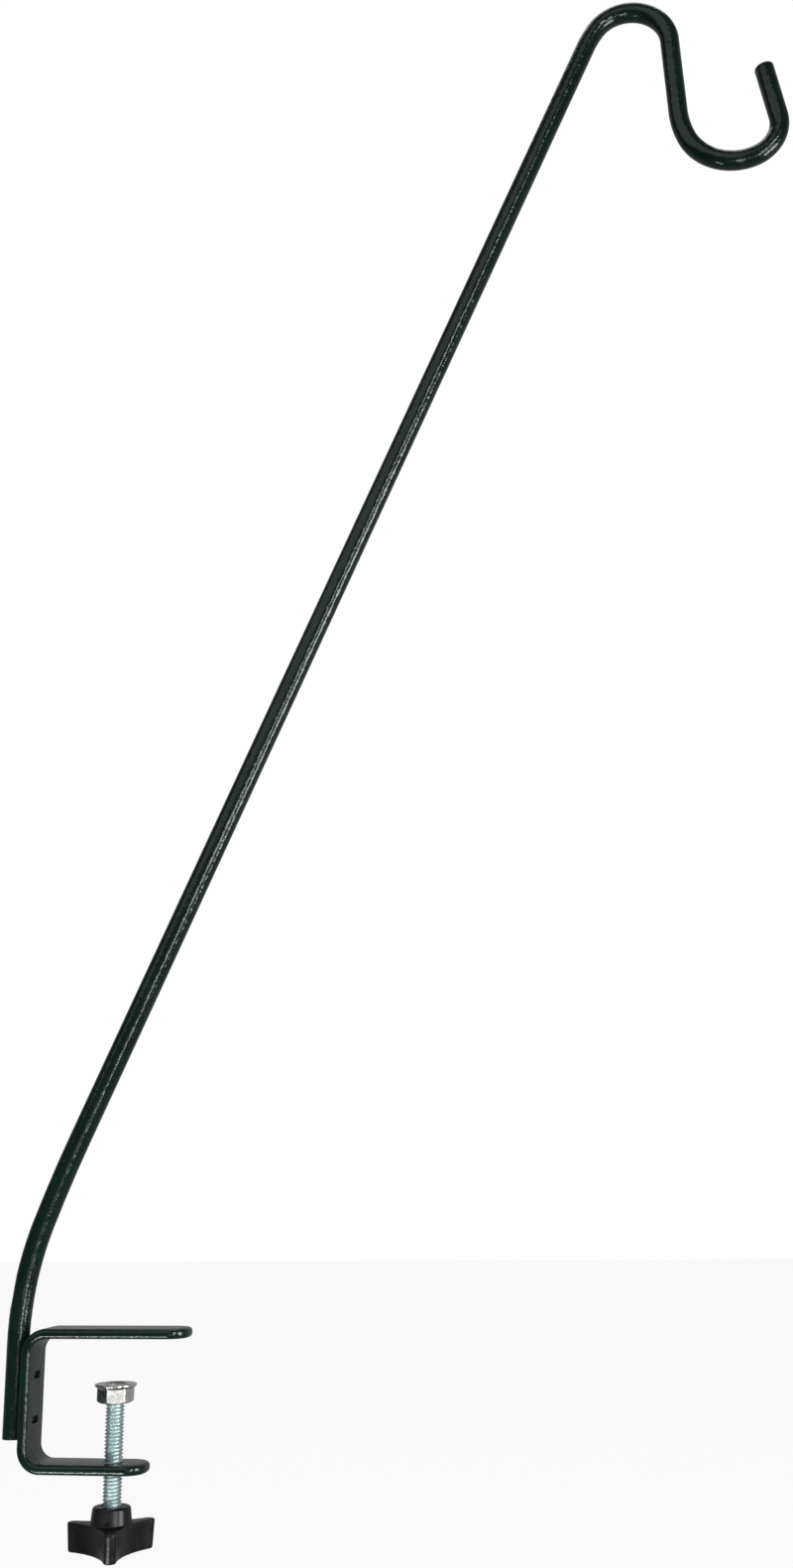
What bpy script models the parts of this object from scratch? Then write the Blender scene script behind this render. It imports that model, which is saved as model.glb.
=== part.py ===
"""Clamp-on deck hook: a bent steel rod on a C-shaped flat-bar clamp with a thumb screw.

Metres, +Z up. The origin lies on the axis of the screw, in the underside of the clamp's upper tab,
which is the face that sits on the rail. +X runs out along the tabs, and the hook reaches that way.
Blender 4.5: blender --background --python part.py
"""
import math

import bmesh
import bpy
from mathutils import Matrix, Vector

# Clearances between pieces, and how far a cutter runs past what it cuts.
SEAT_GAP = 0.0003
RUNNING_CLEARANCE = 0.0002
CUT_OVERRUN = 0.002

# Clamp: one flat bar bent to a C.
BAR_THICKNESS = 0.004
BAR_WIDTH = 0.020
BAR_EDGE_RADIUS = 0.0006
BEND_INNER_RADIUS = 0.006
JAW_HEIGHT = 0.049
THROAT_DEPTH = 0.035
UPPER_TAB_REACH = 0.067
LOWER_TAB_REACH = 0.050
TAB_CORNER_RADIUS = 0.0085
WELD_HOLE_RADIUS = 0.0016
WELD_HOLE_DEPTH_BELOW_SEAT = 0.0150
WELD_HOLE_SPACING = 0.0178
WELD_SINK = 0.0012
WELD_CROWN_SHARE = 0.25
WELD_CROWN_SHOULDER_SHARE = 0.75

# Rod: a round bar with a crook at the top and its foot welded to the back of the clamp.
ROD_DIAMETER = 0.0095
ROD_END_RADIUS = 0.0007
ROD_FOOT_LENGTH = 0.0380
ROD_FOOT_TOP_DROP = 0.0025
FOOT_BEND_RADIUS = 0.1385
FOOT_BEND_TURN = math.radians(20.75)
EASE_RADIUS = 0.600
EASE_TURN = math.radians(3.65)
SLANT_LENGTH = 0.5914
CREST_ENTRY_RADIUS = 0.050
CREST_ENTRY_TURN = math.radians(12.9)
CREST_RADIUS = 0.0202
LEG_LEAN = math.radians(2.45)
LEG_LENGTH = 0.0425
BOWL_ENTRY_RADIUS = 0.0467
BOWL_ENTRY_TURN = math.radians(19.7)
BOWL_RADIUS = 0.0253
BOWL_TURN = math.radians(87.9)
LIP_RADIUS = 0.0196
LIP_LEAN = math.radians(9.9)
LIP_LENGTH = 0.0283
DIE_RADIUS = 0.035
DIE_MARK_DEPTH = 0.0009
DIE_MARK_TURN_SHARE = 0.4

# Screw: 5/16 inch, 18 threads to the inch, with a hexagon head pressed into the knob from below.
SCREW_DIAMETER = 0.00794
SCREW_LENGTH = 0.0585
SCREW_TIP_LENGTH = 0.0012
SCREW_TIP_RADIUS = 0.0042
SCREW_NECK_RADIUS = 0.0031
SCREW_CHAMFER = 0.0006
SCREW_HEAD_ACROSS_FLATS = 0.0127
SCREW_HEAD_HEIGHT = 0.0053

# Flanged nut: turned flange up, it is the foot that presses on the rail.
JAW_OPENING = 0.0183
NUT_ACROSS_FLATS = 0.0135
NUT_HEIGHT = 0.0075
NUT_FLANGE_RADIUS = 0.0088
NUT_FLANGE_EDGE = 0.0011
NUT_FLANGE_CONE = 0.0009
NUT_CORNER_CHAMFER = 0.0007
NUT_RECESS_RADIUS = 0.0048
NUT_RECESS_DEPTH = 0.0024
NUT_TURN = math.radians(-72.0)

# Knob: three moulded lobes under a round hub.
LOBE_COUNT = 3
KNOB_REACH = 0.0204
LOBE_TIP_RADIUS = 0.0027
KNOB_WAIST_RADIUS = 0.0083
LOBE_HEIGHT = 0.0114
LOBE_DRAFT = 0.0008
LOBE_EDGE_RADIUS = 0.0009
KNOB_FRONT_LOBE_TURN = math.radians(-72.0)
HUB_HEIGHT = 0.0070
HUB_TOP_RADIUS = 0.0080
HUB_BASE_RADIUS = 0.0086
HUB_EDGE_RADIUS = 0.0010
HUB_SKIRT = 0.0015
SHANK_IN_HUB = 0.0117

# Fineness of the faceted shapes.
MERGE_DISTANCE = 0.00001
TURN_STEP = math.radians(6.0)
ROD_BEVEL_RESOLUTION = 6
TURNED_STEPS = 40
SMALL_TURNED_STEPS = 24
ARC_STEPS = 6
EDGE_SEGMENTS = 2
CORNER_STEPS = 7
SMOOTH_ANGLE = math.radians(35.0)
BEVEL_ANGLE = math.radians(50.0)

# Places that follow from the sizes above.
STRAP_INNER_X = -THROAT_DEPTH
STRAP_OUTER_X = STRAP_INNER_X - BAR_THICKNESS
LOWER_TAB_TOP = -JAW_HEIGHT
LOWER_TAB_UNDERSIDE = LOWER_TAB_TOP - BAR_THICKNESS
ROD_RADIUS = ROD_DIAMETER / 2
ROD_FOOT_X = STRAP_OUTER_X - SEAT_GAP - ROD_RADIUS
SCREW_RADIUS = SCREW_DIAMETER / 2
NUT_TOP = -JAW_OPENING
NUT_UNDERSIDE = NUT_TOP - NUT_HEIGHT
NUT_RECESS_FLOOR = NUT_TOP - NUT_RECESS_DEPTH
SCREW_TIP_TOP = NUT_RECESS_FLOOR + SEAT_GAP + SCREW_TIP_LENGTH
SCREW_SHOULDER = NUT_UNDERSIDE - SEAT_GAP
SCREW_HEAD_TOP = SCREW_TIP_TOP - SCREW_LENGTH
SCREW_HEAD_UNDERSIDE = SCREW_HEAD_TOP - SCREW_HEAD_HEIGHT
HUB_TOP = SCREW_HEAD_TOP + SEAT_GAP + SHANK_IN_HUB
LOBE_TOP = HUB_TOP - HUB_HEIGHT
LOBE_UNDERSIDE = LOBE_TOP - LOBE_HEIGHT


def clear_scene():
    for old in list(bpy.data.objects):
        bpy.data.objects.remove(old, do_unlink=True)


def make_collection(name):
    collection = bpy.data.collections.new(name)
    bpy.context.scene.collection.children.link(collection)
    return collection


def make_material(name, colour, roughness, metallic):
    material = bpy.data.materials.new(name)
    material.use_nodes = True
    shader = material.node_tree.nodes["Principled BSDF"]
    shader.inputs["Base Color"].default_value = (*colour, 1.0)
    shader.inputs["Roughness"].default_value = roughness
    shader.inputs["Metallic"].default_value = metallic
    material.diffuse_color = (*colour, 1.0)
    return material


def add_object(name, mesh, collection, material=None):
    piece = bpy.data.objects.new(name, mesh)
    collection.objects.link(piece)
    if material:
        mesh.materials.append(material)
    return piece


def shade(piece):
    piece.data.shade_smooth()
    piece.data.set_sharp_from_angle(angle=SMOOTH_ANGLE)


def cut(piece, cutter, operation="DIFFERENCE"):
    boolean = piece.modifiers.new(operation.title() + " " + cutter.name, "BOOLEAN")
    boolean.operation = operation
    boolean.object = cutter
    boolean.solver = "EXACT"
    return boolean


def as_cutter(piece):
    piece.hide_render = True
    piece.display_type = "WIRE"
    return piece


def round_edges(piece, width, segments):
    bevel = piece.modifiers.new("Round edges", "BEVEL")
    bevel.width = width
    bevel.segments = segments
    bevel.limit_method = "ANGLE"
    bevel.angle_limit = BEVEL_ANGLE
    bevel.use_clamp_overlap = True
    return bevel


def arc_points(centre_x, centre_z, radius, start, end, steps):
    """Points of an arc in a plane, its angles counted from the first axis."""
    points = []
    for k in range(steps + 1):
        angle = start + (end - start) * k / steps
        points.append((centre_x + radius * math.cos(angle), centre_z + radius * math.sin(angle)))
    return points


def turned(name, profile, steps, collection, material=None):
    """A solid of revolution about Z: the profile runs down its outer side, from axis to axis."""
    mesh = bpy.data.meshes.new(name)
    bm = bmesh.new()
    rim = [bm.verts.new((radius, 0.0, height)) for radius, height in profile]
    for first, second in zip(rim, rim[1:]):
        bm.edges.new((first, second))
    bm.to_mesh(mesh)
    bm.free()
    piece = add_object(name, mesh, collection, material)
    screw = piece.modifiers.new("Turn", "SCREW")
    screw.axis = "Z"
    screw.steps = steps
    screw.render_steps = steps
    screw.use_merge_vertices = True
    screw.merge_threshold = MERGE_DISTANCE
    screw.use_smooth_shade = True
    return piece


def prism(name, across_flats, top, underside, turn, collection, material=None):
    """A hexagonal prism about Z. With no turn it has a flat facing +X."""
    mesh = bpy.data.meshes.new(name)
    bm = bmesh.new()
    corner_radius = across_flats / math.sqrt(3.0)
    place = Matrix.Translation((0.0, 0.0, (top + underside) / 2)) @ Matrix.Rotation(turn, 4, "Z")
    bmesh.ops.create_cone(bm, cap_ends=True, segments=6, radius1=corner_radius, radius2=corner_radius,
                          depth=top - underside, matrix=place)
    bm.to_mesh(mesh)
    bm.free()
    return add_object(name, mesh, collection, material)


def disc_cutter(name, radius, length, centre, axis, steps, collection):
    """A round cutter of a given length, centred on a point and lying along an axis."""
    mesh = bpy.data.meshes.new(name)
    bm = bmesh.new()
    turn = Vector((0.0, 0.0, 1.0)).rotation_difference(Vector(axis)).to_matrix().to_4x4()
    bmesh.ops.create_cone(bm, cap_ends=True, segments=steps, radius1=radius, radius2=radius,
                          depth=length, matrix=Matrix.Translation(centre) @ turn)
    bm.to_mesh(mesh)
    bm.free()
    return as_cutter(add_object(name, mesh, collection))


class Centreline:
    """A path in the XZ plane, drawn by straight runs and bends from a start point and heading.

    The heading is counted from +Z towards +X, and a positive bend turns the same way.
    """

    def __init__(self, x, z, heading):
        self.points = [Vector((x, 0.0, z))]
        self.heading = heading

    def direction(self):
        return Vector((math.sin(self.heading), 0.0, math.cos(self.heading)))

    def run(self, length):
        self.points.append(self.points[-1] + self.direction() * length)

    def bend(self, radius, turn):
        side = math.copysign(1.0, turn)
        across = Vector((math.cos(self.heading), 0.0, -math.sin(self.heading))) * side
        centre = self.points[-1] + across * radius
        steps = max(2, math.ceil(abs(turn) / TURN_STEP))
        for k in range(1, steps + 1):
            heading = self.heading + turn * k / steps
            across = Vector((math.cos(heading), 0.0, -math.sin(heading))) * side
            self.points.append(centre - across * radius)
        self.heading += turn


def bar_centreline():
    """The middle of the clamp's flat bar, from the upper tab's tip round to the lower tab's."""
    middle = BAR_THICKNESS / 2
    bend_radius = BEND_INNER_RADIUS + middle
    upper_tip_x = STRAP_INNER_X + UPPER_TAB_REACH
    quarter = math.radians(90.0)
    path = Centreline(upper_tip_x, middle, -quarter)
    path.run(UPPER_TAB_REACH - BEND_INNER_RADIUS)
    path.bend(bend_radius, -quarter)
    path.run(JAW_HEIGHT - 2 * BEND_INNER_RADIUS)
    path.bend(bend_radius, -quarter)
    path.run(LOWER_TAB_REACH - BEND_INNER_RADIUS)
    return path.points


def make_clamp_bracket(collection, cutters, material):
    """Flat bar bent to a C, with round tips, a running hole for the screw and two weld holes."""
    points = bar_centreline()
    mesh = bpy.data.meshes.new("clamp_bracket")
    bm = bmesh.new()
    near = [bm.verts.new((p.x, -BAR_WIDTH / 2, p.z)) for p in points]
    for first, second in zip(near, near[1:]):
        bm.edges.new((first, second))
    swept = bmesh.ops.extrude_edge_only(bm, edges=list(bm.edges))
    far = [v for v in swept["geom"] if isinstance(v, bmesh.types.BMVert)]
    bmesh.ops.translate(bm, verts=far, vec=(0.0, BAR_WIDTH, 0.0))
    bm.verts.ensure_lookup_table()
    tips = [v for v in bm.verts if len(v.link_edges) == 2]
    bmesh.ops.bevel(bm, geom=tips, offset=TAB_CORNER_RADIUS, offset_type="OFFSET",
                    segments=CORNER_STEPS, profile=0.5, affect="VERTICES")
    bmesh.ops.recalc_face_normals(bm, faces=list(bm.faces))
    bm.to_mesh(mesh)
    bm.free()
    piece = add_object("clamp_bracket", mesh, collection, material)
    solid = piece.modifiers.new("Bar thickness", "SOLIDIFY")
    solid.thickness = BAR_THICKNESS
    solid.offset = 0.0
    solid.use_even_offset = True
    round_edges(piece, BAR_EDGE_RADIUS, EDGE_SEGMENTS)

    length = BAR_THICKNESS + 2 * CUT_OVERRUN
    screw_hole = disc_cutter("screw_hole_cutter", SCREW_RADIUS + RUNNING_CLEARANCE, length,
                             (0.0, 0.0, LOWER_TAB_TOP - BAR_THICKNESS / 2), (0.0, 0.0, 1.0),
                             TURNED_STEPS, cutters)
    cut(piece, screw_hole)
    for label, height in weld_heights():
        hole = disc_cutter(label + "_weld_hole_cutter", WELD_HOLE_RADIUS, length,
                           (STRAP_INNER_X - BAR_THICKNESS / 2, 0.0, height), (1.0, 0.0, 0.0),
                           SMALL_TURNED_STEPS, cutters)
        cut(piece, hole)
    shade(piece)
    return piece


def weld_heights():
    upper = -WELD_HOLE_DEPTH_BELOW_SEAT
    return (("upper", upper), ("lower", upper - WELD_HOLE_SPACING))


def make_weld_plugs(collection, material):
    """Weld metal that fills each hole from the rod's side and stops short of the inner face."""
    radius = WELD_HOLE_RADIUS - SEAT_GAP
    length = BAR_THICKNESS - WELD_SINK
    crown = radius * WELD_CROWN_SHARE
    plugs = []
    for label, height in weld_heights():
        profile = [(0.0, length + crown), (radius / 2, length + crown * WELD_CROWN_SHOULDER_SHARE), (radius, length),
                   (radius, 0.0), (0.0, 0.0)]
        plug = turned(label + "_weld_plug", profile, SMALL_TURNED_STEPS, collection, material)
        plug.location = (STRAP_OUTER_X, 0.0, height)
        plug.rotation_euler = (0.0, math.radians(90.0), 0.0)
        plugs.append(plug)
    return plugs


def rod_centreline():
    """The rod's middle: foot, long bend, slant, crest, leg, bowl and lip."""
    path = Centreline(ROD_FOOT_X, -ROD_FOOT_TOP_DROP - ROD_FOOT_LENGTH, 0.0)
    path.run(ROD_FOOT_LENGTH)
    path.bend(FOOT_BEND_RADIUS, FOOT_BEND_TURN)
    path.bend(EASE_RADIUS, EASE_TURN)
    path.run(SLANT_LENGTH)
    path.bend(CREST_ENTRY_RADIUS, CREST_ENTRY_TURN)
    path.bend(CREST_RADIUS, math.radians(180.0) - LEG_LEAN - path.heading)
    path.run(LEG_LENGTH)
    path.bend(BOWL_ENTRY_RADIUS, -BOWL_ENTRY_TURN)
    path.bend(BOWL_RADIUS, -BOWL_TURN)
    remaining = math.radians(180.0) - LEG_LEAN + LIP_LEAN - BOWL_ENTRY_TURN - BOWL_TURN
    path.bend(LIP_RADIUS, -remaining)
    path.run(LIP_LENGTH)
    return path.points


def make_hook_rod(collection, cutters, material):
    """Round bar swept along its middle, with the press mark of the bending die on its back."""
    curve = bpy.data.curves.new("hook_rod_path", "CURVE")
    curve.dimensions = "3D"
    curve.bevel_depth = ROD_RADIUS
    curve.bevel_resolution = ROD_BEVEL_RESOLUTION
    curve.use_fill_caps = True
    points = rod_centreline()
    spline = curve.splines.new("POLY")
    spline.points.add(len(points) - 1)
    for target, point in zip(spline.points, points):
        target.co = (*point, 1.0)
    swept = bpy.data.objects.new("hook_rod_path", curve)
    collection.objects.link(swept)
    bpy.context.view_layer.update()
    evaluated = swept.evaluated_get(bpy.context.evaluated_depsgraph_get())
    mesh = bpy.data.meshes.new_from_object(evaluated)
    bm = bmesh.new()
    bm.from_mesh(mesh)
    bmesh.ops.remove_doubles(bm, verts=list(bm.verts), dist=MERGE_DISTANCE)
    bmesh.ops.recalc_face_normals(bm, faces=list(bm.faces))
    bm.to_mesh(mesh)
    bm.free()
    mesh.name = "hook_rod"
    piece = add_object("hook_rod", mesh, collection, material)
    piece.matrix_world = swept.matrix_world
    bpy.data.objects.remove(swept, do_unlink=True)

    turn = FOOT_BEND_TURN * DIE_MARK_TURN_SHARE
    outward = Vector((-math.cos(turn), 0.0, math.sin(turn)))
    bend_centre = Vector((ROD_FOOT_X + FOOT_BEND_RADIUS, 0.0, -ROD_FOOT_TOP_DROP))
    reach = FOOT_BEND_RADIUS + ROD_RADIUS - DIE_MARK_DEPTH + DIE_RADIUS
    die = disc_cutter("die_mark_cutter", DIE_RADIUS, ROD_DIAMETER + 2 * CUT_OVERRUN,
                      bend_centre + outward * reach, (0.0, 1.0, 0.0), 3 * TURNED_STEPS, cutters)
    cut(piece, die)
    round_edges(piece, ROD_END_RADIUS, EDGE_SEGMENTS)
    shade(piece)
    return piece


def make_clamp_screw(collection, cutters, material):
    """Shank with a turned-down neck whose end is peened over, and a hexagon head.

    The head's flats face the knob's lobes and waists, so that its corners have most plastic.
    """
    profile = [
        (0.0, SCREW_TIP_TOP),
        (SCREW_TIP_RADIUS - SCREW_CHAMFER, SCREW_TIP_TOP),
        (SCREW_TIP_RADIUS, SCREW_TIP_TOP - SCREW_CHAMFER),
        (SCREW_TIP_RADIUS, SCREW_TIP_TOP - SCREW_TIP_LENGTH),
        (SCREW_NECK_RADIUS, SCREW_TIP_TOP - SCREW_TIP_LENGTH),
        (SCREW_NECK_RADIUS, SCREW_SHOULDER),
        (SCREW_RADIUS - SCREW_CHAMFER, SCREW_SHOULDER),
        (SCREW_RADIUS, SCREW_SHOULDER - SCREW_CHAMFER),
        (SCREW_RADIUS, SCREW_HEAD_TOP - SCREW_HEAD_HEIGHT / 2),
        (0.0, SCREW_HEAD_TOP - SCREW_HEAD_HEIGHT / 2),
    ]
    piece = turned("clamp_screw", profile, TURNED_STEPS, collection, material)
    head = prism("screw_head_shape", SCREW_HEAD_ACROSS_FLATS, SCREW_HEAD_TOP, SCREW_HEAD_UNDERSIDE,
                 KNOB_FRONT_LOBE_TURN, cutters)
    cut(piece, as_cutter(head), "UNION")
    shade(piece)
    return piece


def make_flange_nut(collection, cutters, material):
    """Hexagon nut with a wide flange on top, hollowed where the screw's peened end turns."""
    hexagon_corner = NUT_ACROSS_FLATS / math.sqrt(3.0)
    flange_underside = NUT_TOP - NUT_FLANGE_EDGE
    profile = [
        (0.0, NUT_TOP),
        (NUT_FLANGE_RADIUS - NUT_FLANGE_EDGE / 4, NUT_TOP),
        (NUT_FLANGE_RADIUS, NUT_TOP - NUT_FLANGE_EDGE / 4),
        (NUT_FLANGE_RADIUS, flange_underside),
        (NUT_ACROSS_FLATS / 2, flange_underside - NUT_FLANGE_CONE),
        (0.0, flange_underside - NUT_FLANGE_CONE),
    ]
    piece = turned("flange_nut", profile, TURNED_STEPS, collection, material)
    hexagon = prism("nut_hexagon_shape", NUT_ACROSS_FLATS, flange_underside, NUT_UNDERSIDE,
                    NUT_TURN, cutters)
    envelope = turned("nut_chamfer_shape", [
        (0.0, flange_underside + CUT_OVERRUN),
        (hexagon_corner + CUT_OVERRUN, flange_underside + CUT_OVERRUN),
        (hexagon_corner + CUT_OVERRUN, NUT_UNDERSIDE + NUT_CORNER_CHAMFER + CUT_OVERRUN / math.sqrt(3.0)),
        (hexagon_corner - NUT_CORNER_CHAMFER * math.sqrt(3.0), NUT_UNDERSIDE),
        (0.0, NUT_UNDERSIDE),
    ], TURNED_STEPS, cutters)
    cut(as_cutter(hexagon), as_cutter(envelope), "INTERSECT")
    cut(piece, hexagon, "UNION")
    bore_radius = SCREW_NECK_RADIUS + RUNNING_CLEARANCE
    bore = turned("nut_bore_cutter", [
        (0.0, NUT_TOP + CUT_OVERRUN),
        (NUT_RECESS_RADIUS, NUT_TOP + CUT_OVERRUN),
        (NUT_RECESS_RADIUS, NUT_RECESS_FLOOR),
        (bore_radius, NUT_RECESS_FLOOR),
        (bore_radius, NUT_UNDERSIDE - CUT_OVERRUN),
        (0.0, NUT_UNDERSIDE - CUT_OVERRUN),
    ], TURNED_STEPS, cutters)
    cut(piece, as_cutter(bore))
    shade(piece)
    return piece


def lobe_outline():
    """The knob's outline in plan: round lobe tips joined by hollow waists, each tangent to both."""
    tip_distance = KNOB_REACH - LOBE_TIP_RADIUS
    half_pitch = math.pi / LOBE_COUNT
    hollow = math.cos(half_pitch)
    waist = KNOB_WAIST_RADIUS
    hollow_radius = ((waist ** 2 + tip_distance ** 2 - 2 * waist * tip_distance * hollow
                      - LOBE_TIP_RADIUS ** 2)
                     / (2 * (LOBE_TIP_RADIUS + tip_distance * hollow - waist)))
    hollow_distance = waist + hollow_radius
    across = Vector((hollow_distance * math.cos(half_pitch) - tip_distance,
                     hollow_distance * math.sin(half_pitch)))
    contact = math.atan2(across.y, across.x)
    inner_half = contact - half_pitch
    outline = []
    for lobe in range(LOBE_COUNT):
        turn = lobe * 2 * half_pitch
        for x, y in arc_points(tip_distance, 0.0, LOBE_TIP_RADIUS, -contact, contact, ARC_STEPS):
            outline.append(Matrix.Rotation(turn, 2) @ Vector((x, y)))
        side = arc_points(-hollow_distance, 0.0, hollow_radius, inner_half, -inner_half, ARC_STEPS)
        for x, y in side[1:-1]:
            outline.append(Matrix.Rotation(turn + half_pitch + math.pi, 2) @ Vector((x, y)))
    return outline


def make_star_knob(collection, cutters, material):
    """Three drafted lobes under a tapered hub, with a pocket below that holds the screw's head."""
    mesh = bpy.data.meshes.new("star_knob")
    bm = bmesh.new()
    rim = [bm.verts.new((p.x, p.y, LOBE_UNDERSIDE)) for p in lobe_outline()]
    base = bm.faces.new(rim)
    raised = bmesh.ops.extrude_face_region(bm, geom=[base])
    top = [v for v in raised["geom"] if isinstance(v, bmesh.types.BMVert)]
    bmesh.ops.translate(bm, verts=top, vec=(0.0, 0.0, LOBE_HEIGHT))
    draft = (KNOB_REACH - LOBE_DRAFT) / KNOB_REACH
    bmesh.ops.scale(bm, verts=rim, vec=(draft, draft, 1.0))
    bmesh.ops.rotate(bm, verts=list(bm.verts), cent=(0.0, 0.0, 0.0),
                     matrix=Matrix.Rotation(KNOB_FRONT_LOBE_TURN, 3, "Z"))
    bmesh.ops.recalc_face_normals(bm, faces=list(bm.faces))
    bm.to_mesh(mesh)
    bm.free()
    piece = add_object("star_knob", mesh, collection, material)
    round_edges(piece, LOBE_EDGE_RADIUS, EDGE_SEGMENTS + 1)

    quarter = math.radians(90.0)
    corner = arc_points(HUB_TOP_RADIUS - HUB_EDGE_RADIUS, HUB_TOP - HUB_EDGE_RADIUS,
                        HUB_EDGE_RADIUS, quarter, 0.0, 4)
    hub = turned("knob_hub_shape", [(0.0, HUB_TOP)] + corner + [
        (HUB_BASE_RADIUS, LOBE_TOP),
        (KNOB_WAIST_RADIUS - LOBE_DRAFT, LOBE_TOP - HUB_SKIRT),
        (0.0, LOBE_TOP - HUB_SKIRT),
    ], TURNED_STEPS, cutters)
    cut(piece, as_cutter(hub), "UNION")
    shank_radius = SCREW_RADIUS + SEAT_GAP
    pocket_top = SCREW_HEAD_TOP + SEAT_GAP
    shank = disc_cutter("knob_shank_cutter", shank_radius, HUB_TOP + CUT_OVERRUN - SCREW_HEAD_TOP,
                        (0.0, 0.0, (HUB_TOP + CUT_OVERRUN + SCREW_HEAD_TOP) / 2), (0.0, 0.0, 1.0),
                        TURNED_STEPS, cutters)
    pocket = prism("knob_pocket_cutter", SCREW_HEAD_ACROSS_FLATS + 2 * SEAT_GAP, pocket_top,
                   LOBE_UNDERSIDE - CUT_OVERRUN, KNOB_FRONT_LOBE_TURN, cutters)
    cut(piece, shank)
    cut(piece, as_cutter(pocket))
    shade(piece)
    return piece


def hang_on_axis(name, pieces, height, collection):
    """An empty on the screw's axis, which carries what turns or slides there."""
    axis = bpy.data.objects.new(name, None)
    axis.empty_display_size = SCREW_LENGTH
    axis.location = (0.0, 0.0, height)
    collection.objects.link(axis)
    for piece in pieces:
        piece.parent = axis
        piece.matrix_parent_inverse = Matrix.Translation((0.0, 0.0, -height))
    return axis


def build():
    clear_scene()
    parts = make_collection("deck_hook")
    cutters = make_collection("deck_hook_cutters")

    green = make_material("dark_green_powder_coat", (0.012, 0.045, 0.035), 0.22, 0.0)
    weld = make_material("painted_weld", (0.010, 0.036, 0.028), 0.5, 0.0)
    zinc = make_material("blue_zinc_plate", (0.55, 0.62, 0.64), 0.3, 1.0)
    nickel = make_material("bright_zinc_plate", (0.78, 0.78, 0.76), 0.18, 1.0)
    plastic = make_material("black_moulded_plastic", (0.012, 0.012, 0.013), 0.38, 0.0)

    make_clamp_bracket(parts, cutters, green)
    make_hook_rod(parts, cutters, green)
    make_weld_plugs(parts, weld)
    nut = make_flange_nut(parts, cutters, nickel)
    screw = make_clamp_screw(parts, cutters, zinc)
    knob = make_star_knob(parts, cutters, plastic)

    foot = hang_on_axis("foot_slide_axis", [nut], NUT_TOP, parts)
    turning = hang_on_axis("screw_turn_axis", [screw, knob], SCREW_HEAD_TOP, parts)
    turning.parent = foot
    turning.matrix_parent_inverse = Matrix.Translation((0.0, 0.0, -NUT_TOP))


build()
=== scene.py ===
"""The finish of a clamp-on deck hook: gloss powder coat, plated screw and nut, and a moulded knob."""
import math

import bmesh
import bpy
from mathutils import Matrix, Vector


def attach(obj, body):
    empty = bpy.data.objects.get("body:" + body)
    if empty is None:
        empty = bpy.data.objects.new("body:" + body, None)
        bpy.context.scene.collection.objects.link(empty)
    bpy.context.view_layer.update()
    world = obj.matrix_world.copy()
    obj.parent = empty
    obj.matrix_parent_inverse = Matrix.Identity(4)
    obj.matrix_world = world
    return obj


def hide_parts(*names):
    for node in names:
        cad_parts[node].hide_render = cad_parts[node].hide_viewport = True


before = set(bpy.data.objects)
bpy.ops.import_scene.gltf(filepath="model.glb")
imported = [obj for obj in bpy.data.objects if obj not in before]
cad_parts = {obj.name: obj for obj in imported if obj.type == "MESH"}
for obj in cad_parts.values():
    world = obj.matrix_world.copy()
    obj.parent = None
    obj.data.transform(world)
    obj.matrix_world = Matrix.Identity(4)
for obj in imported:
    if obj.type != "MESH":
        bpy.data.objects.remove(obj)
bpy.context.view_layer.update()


# Clamp bracket. One flat steel bar, 20 by 4 mm with rolled edges, bent cold to a C. Its tips are
# ground round, the lower tab is drilled for the screw, and the strap has two slots for the welds.
BAR_THICKNESS = 0.004
BAR_WIDTH = 0.020
BAR_EDGE = 0.0016
BAR_EDGE_STEPS = 6
BEND_INNER = 0.006
BEND_STEPS = 14
QUARTER_TURN = math.radians(90.0)
JAW_HEIGHT = 0.049
STRAP_X = -0.035
UPPER_TIP_X = 0.032
LOWER_TIP_X = 0.015
TIP_CORNER = 0.0085
TIP_STEPS = 10
SCREW_HOLE = 0.0042
ROUND_SIDES = 48
WELD_SLOT = (0.0066, 0.0029)
WELD_SLOT_CORNER = 0.0006
WELD_SLOT_STEPS = 5
WELD_SLOT_HEIGHTS = (-0.0150, -0.0328)
SNAP = 0.00002
SHARP_EDGE = 50.0
BAR_SMOOTHING = 35.0


def only(piece):
    """Leaves one object selected and active, for the operators that follow."""
    bpy.ops.object.select_all(action="DESELECT")
    piece.select_set(True)
    bpy.context.view_layer.objects.active = piece


def apply_modifiers(piece):
    only(piece)
    for modifier in list(piece.modifiers):
        bpy.ops.object.modifier_apply(modifier=modifier.name)


def apply_place(piece):
    only(piece)
    bpy.ops.object.transform_apply(location=True, rotation=True, scale=True)


def add_rounding(piece, width, steps, sharper_than):
    """Rounds the edges that turn by more than some degrees."""
    rounding = piece.modifiers.new("Rounded edges", "BEVEL")
    rounding.width = width
    rounding.segments = steps
    rounding.limit_method = "ANGLE"
    rounding.angle_limit = math.radians(sharper_than)


def smooth(piece, degrees):
    """Shades a piece smooth, except over edges that turn by more than some degrees."""
    only(piece)
    bpy.ops.object.shade_smooth_by_angle(angle=math.radians(degrees))


def cut_with(piece, cutter, operation="DIFFERENCE"):
    """Cuts or joins a piece by another, applies the result and removes the other."""
    boolean = piece.modifiers.new("Cut", "BOOLEAN")
    boolean.operation = operation
    boolean.solver = "EXACT"
    boolean.object = cutter
    apply_modifiers(piece)
    bpy.data.objects.remove(cutter, do_unlink=True)


def add_drill(radius, length, centre, turn=0.0, sides=ROUND_SIDES):
    """An upright round or many-sided bar, to cut or join with."""
    bpy.ops.object.select_all(action="DESELECT")
    bpy.ops.mesh.primitive_cylinder_add(vertices=sides, radius=radius, depth=length,
                                        location=centre, rotation=(0.0, 0.0, turn))
    return bpy.context.object


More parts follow.
